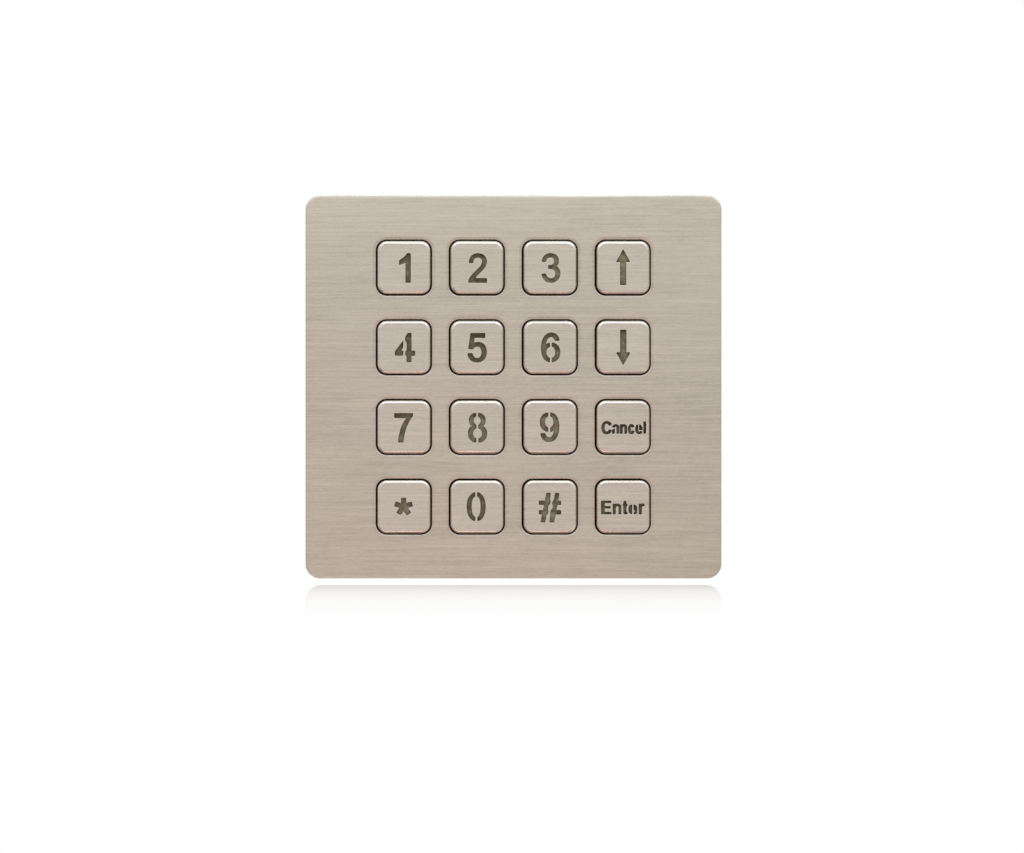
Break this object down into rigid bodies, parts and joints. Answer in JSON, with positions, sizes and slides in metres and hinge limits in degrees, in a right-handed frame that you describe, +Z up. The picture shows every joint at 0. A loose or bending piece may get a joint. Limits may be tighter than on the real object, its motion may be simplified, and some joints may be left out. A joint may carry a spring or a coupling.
{
  "type": "keypad access reader",
  "caption": "Flush-mounting steel keypad for door access, with square stencil-cut push keys in a plain plate, a shallow rear housing and threaded mounting studs.",
  "frame": {"origin": "centre of the front plate's rear face, in the plane where the plate meets the panel", "axes": "+Z up, +X to the right as the user faces the keys, front towards -Y, +Y into the panel"},
  "size_m": [0.114, 0.0237, 0.105],
  "materials": {
    "plate_steel": "satin, brushed along its width",
    "cap_steel": "satin, brushed along its width, edges pressed round",
    "guide_resin": "smoky translucent resin",
    "keymat_silicone": "matt silicone",
    "black_plastic": "fine moulded texture",
    "board_laminate": "solder-masked glass laminate",
    "seal_rubber": "closed-cell foam rubber",
    "zinc_steel": "zinc plated",
    "spacer_brass": "turned"
  },
  "bodies": {
    "reader_body": {"front_plate": "plate_steel", "guide_frame": "black_plastic", "silicone_keymat": "keymat_silicone", "circuit_board": "board_laminate", "controller_chip": "black_plastic", "interface_chip": "black_plastic", "ribbon_header": "black_plastic", "rear_cover": "black_plastic", "panel_seal": "seal_rubber", "mounting_stud_1": "zinc_steel", "board_pillar_1": "zinc_steel", "cover_spacer_1": "spacer_brass", "cover_screw_1": "zinc_steel", "mounting_stud_2": "zinc_steel", "board_pillar_2": "zinc_steel", "cover_spacer_2": "spacer_brass", "cover_screw_2": "zinc_steel", "mounting_stud_3": "zinc_steel", "board_pillar_3": "zinc_steel", "cover_spacer_3": "spacer_brass", "cover_screw_3": "zinc_steel", "mounting_stud_4": "zinc_steel", "board_pillar_4": "zinc_steel", "cover_spacer_4": "spacer_brass", "cover_screw_4": "zinc_steel"},
    "key_1": {"key_cap_1": "cap_steel", "light_guide_1": "guide_resin"},
    "key_2": {"key_cap_2": "cap_steel", "light_guide_2": "guide_resin"},
    "key_3": {"key_cap_3": "cap_steel", "light_guide_3": "guide_resin"},
    "key_up": {"key_cap_up": "cap_steel", "light_guide_up": "guide_resin"},
    "key_4": {"key_cap_4": "cap_steel", "light_guide_4": "guide_resin"},
    "key_5": {"key_cap_5": "cap_steel", "light_guide_5": "guide_resin"},
    "key_6": {"key_cap_6": "cap_steel", "light_guide_6": "guide_resin"},
    "key_down": {"key_cap_down": "cap_steel", "light_guide_down": "guide_resin"},
    "key_7": {"key_cap_7": "cap_steel", "light_guide_7": "guide_resin"},
    "key_8": {"key_cap_8": "cap_steel", "light_guide_8": "guide_resin"},
    "key_9": {"key_cap_9": "cap_steel", "light_guide_9": "guide_resin"},
    "key_cancel": {"key_cap_cancel": "cap_steel", "light_guide_cancel": "guide_resin"},
    "key_star": {"key_cap_star": "cap_steel", "light_guide_star": "guide_resin"},
    "key_0": {"key_cap_0": "cap_steel", "light_guide_0": "guide_resin"},
    "key_hash": {"key_cap_hash": "cap_steel", "light_guide_hash": "guide_resin"},
    "key_enter": {"key_cap_enter": "cap_steel", "light_guide_enter": "guide_resin"}
  },
  "joints": [
    {"name": "key_1_press", "type": "slide", "parent": "reader_body", "child": "key_1", "axis": [0, 1, 0], "range_m": [0, 0.0008], "stiffness_N_per_m": 2000, "springref_m": -0.0004, "deforming": ["silicone_keymat"]},
    {"name": "key_2_press", "type": "slide", "parent": "reader_body", "child": "key_2", "axis": [0, 1, 0], "range_m": [0, 0.0008], "stiffness_N_per_m": 2000, "springref_m": -0.0004, "deforming": ["silicone_keymat"]},
    {"name": "key_3_press", "type": "slide", "parent": "reader_body", "child": "key_3", "axis": [0, 1, 0], "range_m": [0, 0.0008], "stiffness_N_per_m": 2000, "springref_m": -0.0004, "deforming": ["silicone_keymat"]},
    {"name": "key_up_press", "type": "slide", "parent": "reader_body", "child": "key_up", "axis": [0, 1, 0], "range_m": [0, 0.0008], "stiffness_N_per_m": 2000, "springref_m": -0.0004, "deforming": ["silicone_keymat"]},
    {"name": "key_4_press", "type": "slide", "parent": "reader_body", "child": "key_4", "axis": [0, 1, 0], "range_m": [0, 0.0008], "stiffness_N_per_m": 2000, "springref_m": -0.0004, "deforming": ["silicone_keymat"]},
    {"name": "key_5_press", "type": "slide", "parent": "reader_body", "child": "key_5", "axis": [0, 1, 0], "range_m": [0, 0.0008], "stiffness_N_per_m": 2000, "springref_m": -0.0004, "deforming": ["silicone_keymat"]},
    {"name": "key_6_press", "type": "slide", "parent": "reader_body", "child": "key_6", "axis": [0, 1, 0], "range_m": [0, 0.0008], "stiffness_N_per_m": 2000, "springref_m": -0.0004, "deforming": ["silicone_keymat"]},
    {"name": "key_down_press", "type": "slide", "parent": "reader_body", "child": "key_down", "axis": [0, 1, 0], "range_m": [0, 0.0008], "stiffness_N_per_m": 2000, "springref_m": -0.0004, "deforming": ["silicone_keymat"]},
    {"name": "key_7_press", "type": "slide", "parent": "reader_body", "child": "key_7", "axis": [0, 1, 0], "range_m": [0, 0.0008], "stiffness_N_per_m": 2000, "springref_m": -0.0004, "deforming": ["silicone_keymat"]},
    {"name": "key_8_press", "type": "slide", "parent": "reader_body", "child": "key_8", "axis": [0, 1, 0], "range_m": [0, 0.0008], "stiffness_N_per_m": 2000, "springref_m": -0.0004, "deforming": ["silicone_keymat"]},
    {"name": "key_9_press", "type": "slide", "parent": "reader_body", "child": "key_9", "axis": [0, 1, 0], "range_m": [0, 0.0008], "stiffness_N_per_m": 2000, "springref_m": -0.0004, "deforming": ["silicone_keymat"]},
    {"name": "key_cancel_press", "type": "slide", "parent": "reader_body", "child": "key_cancel", "axis": [0, 1, 0], "range_m": [0, 0.0008], "stiffness_N_per_m": 2000, "springref_m": -0.0004, "deforming": ["silicone_keymat"]},
    {"name": "key_star_press", "type": "slide", "parent": "reader_body", "child": "key_star", "axis": [0, 1, 0], "range_m": [0, 0.0008], "stiffness_N_per_m": 2000, "springref_m": -0.0004, "deforming": ["silicone_keymat"]},
    {"name": "key_0_press", "type": "slide", "parent": "reader_body", "child": "key_0", "axis": [0, 1, 0], "range_m": [0, 0.0008], "stiffness_N_per_m": 2000, "springref_m": -0.0004, "deforming": ["silicone_keymat"]},
    {"name": "key_hash_press", "type": "slide", "parent": "reader_body", "child": "key_hash", "axis": [0, 1, 0], "range_m": [0, 0.0008], "stiffness_N_per_m": 2000, "springref_m": -0.0004, "deforming": ["silicone_keymat"]},
    {"name": "key_enter_press", "type": "slide", "parent": "reader_body", "child": "key_enter", "axis": [0, 1, 0], "range_m": [0, 0.0008], "stiffness_N_per_m": 2000, "springref_m": -0.0004, "deforming": ["silicone_keymat"]}
  ]
}
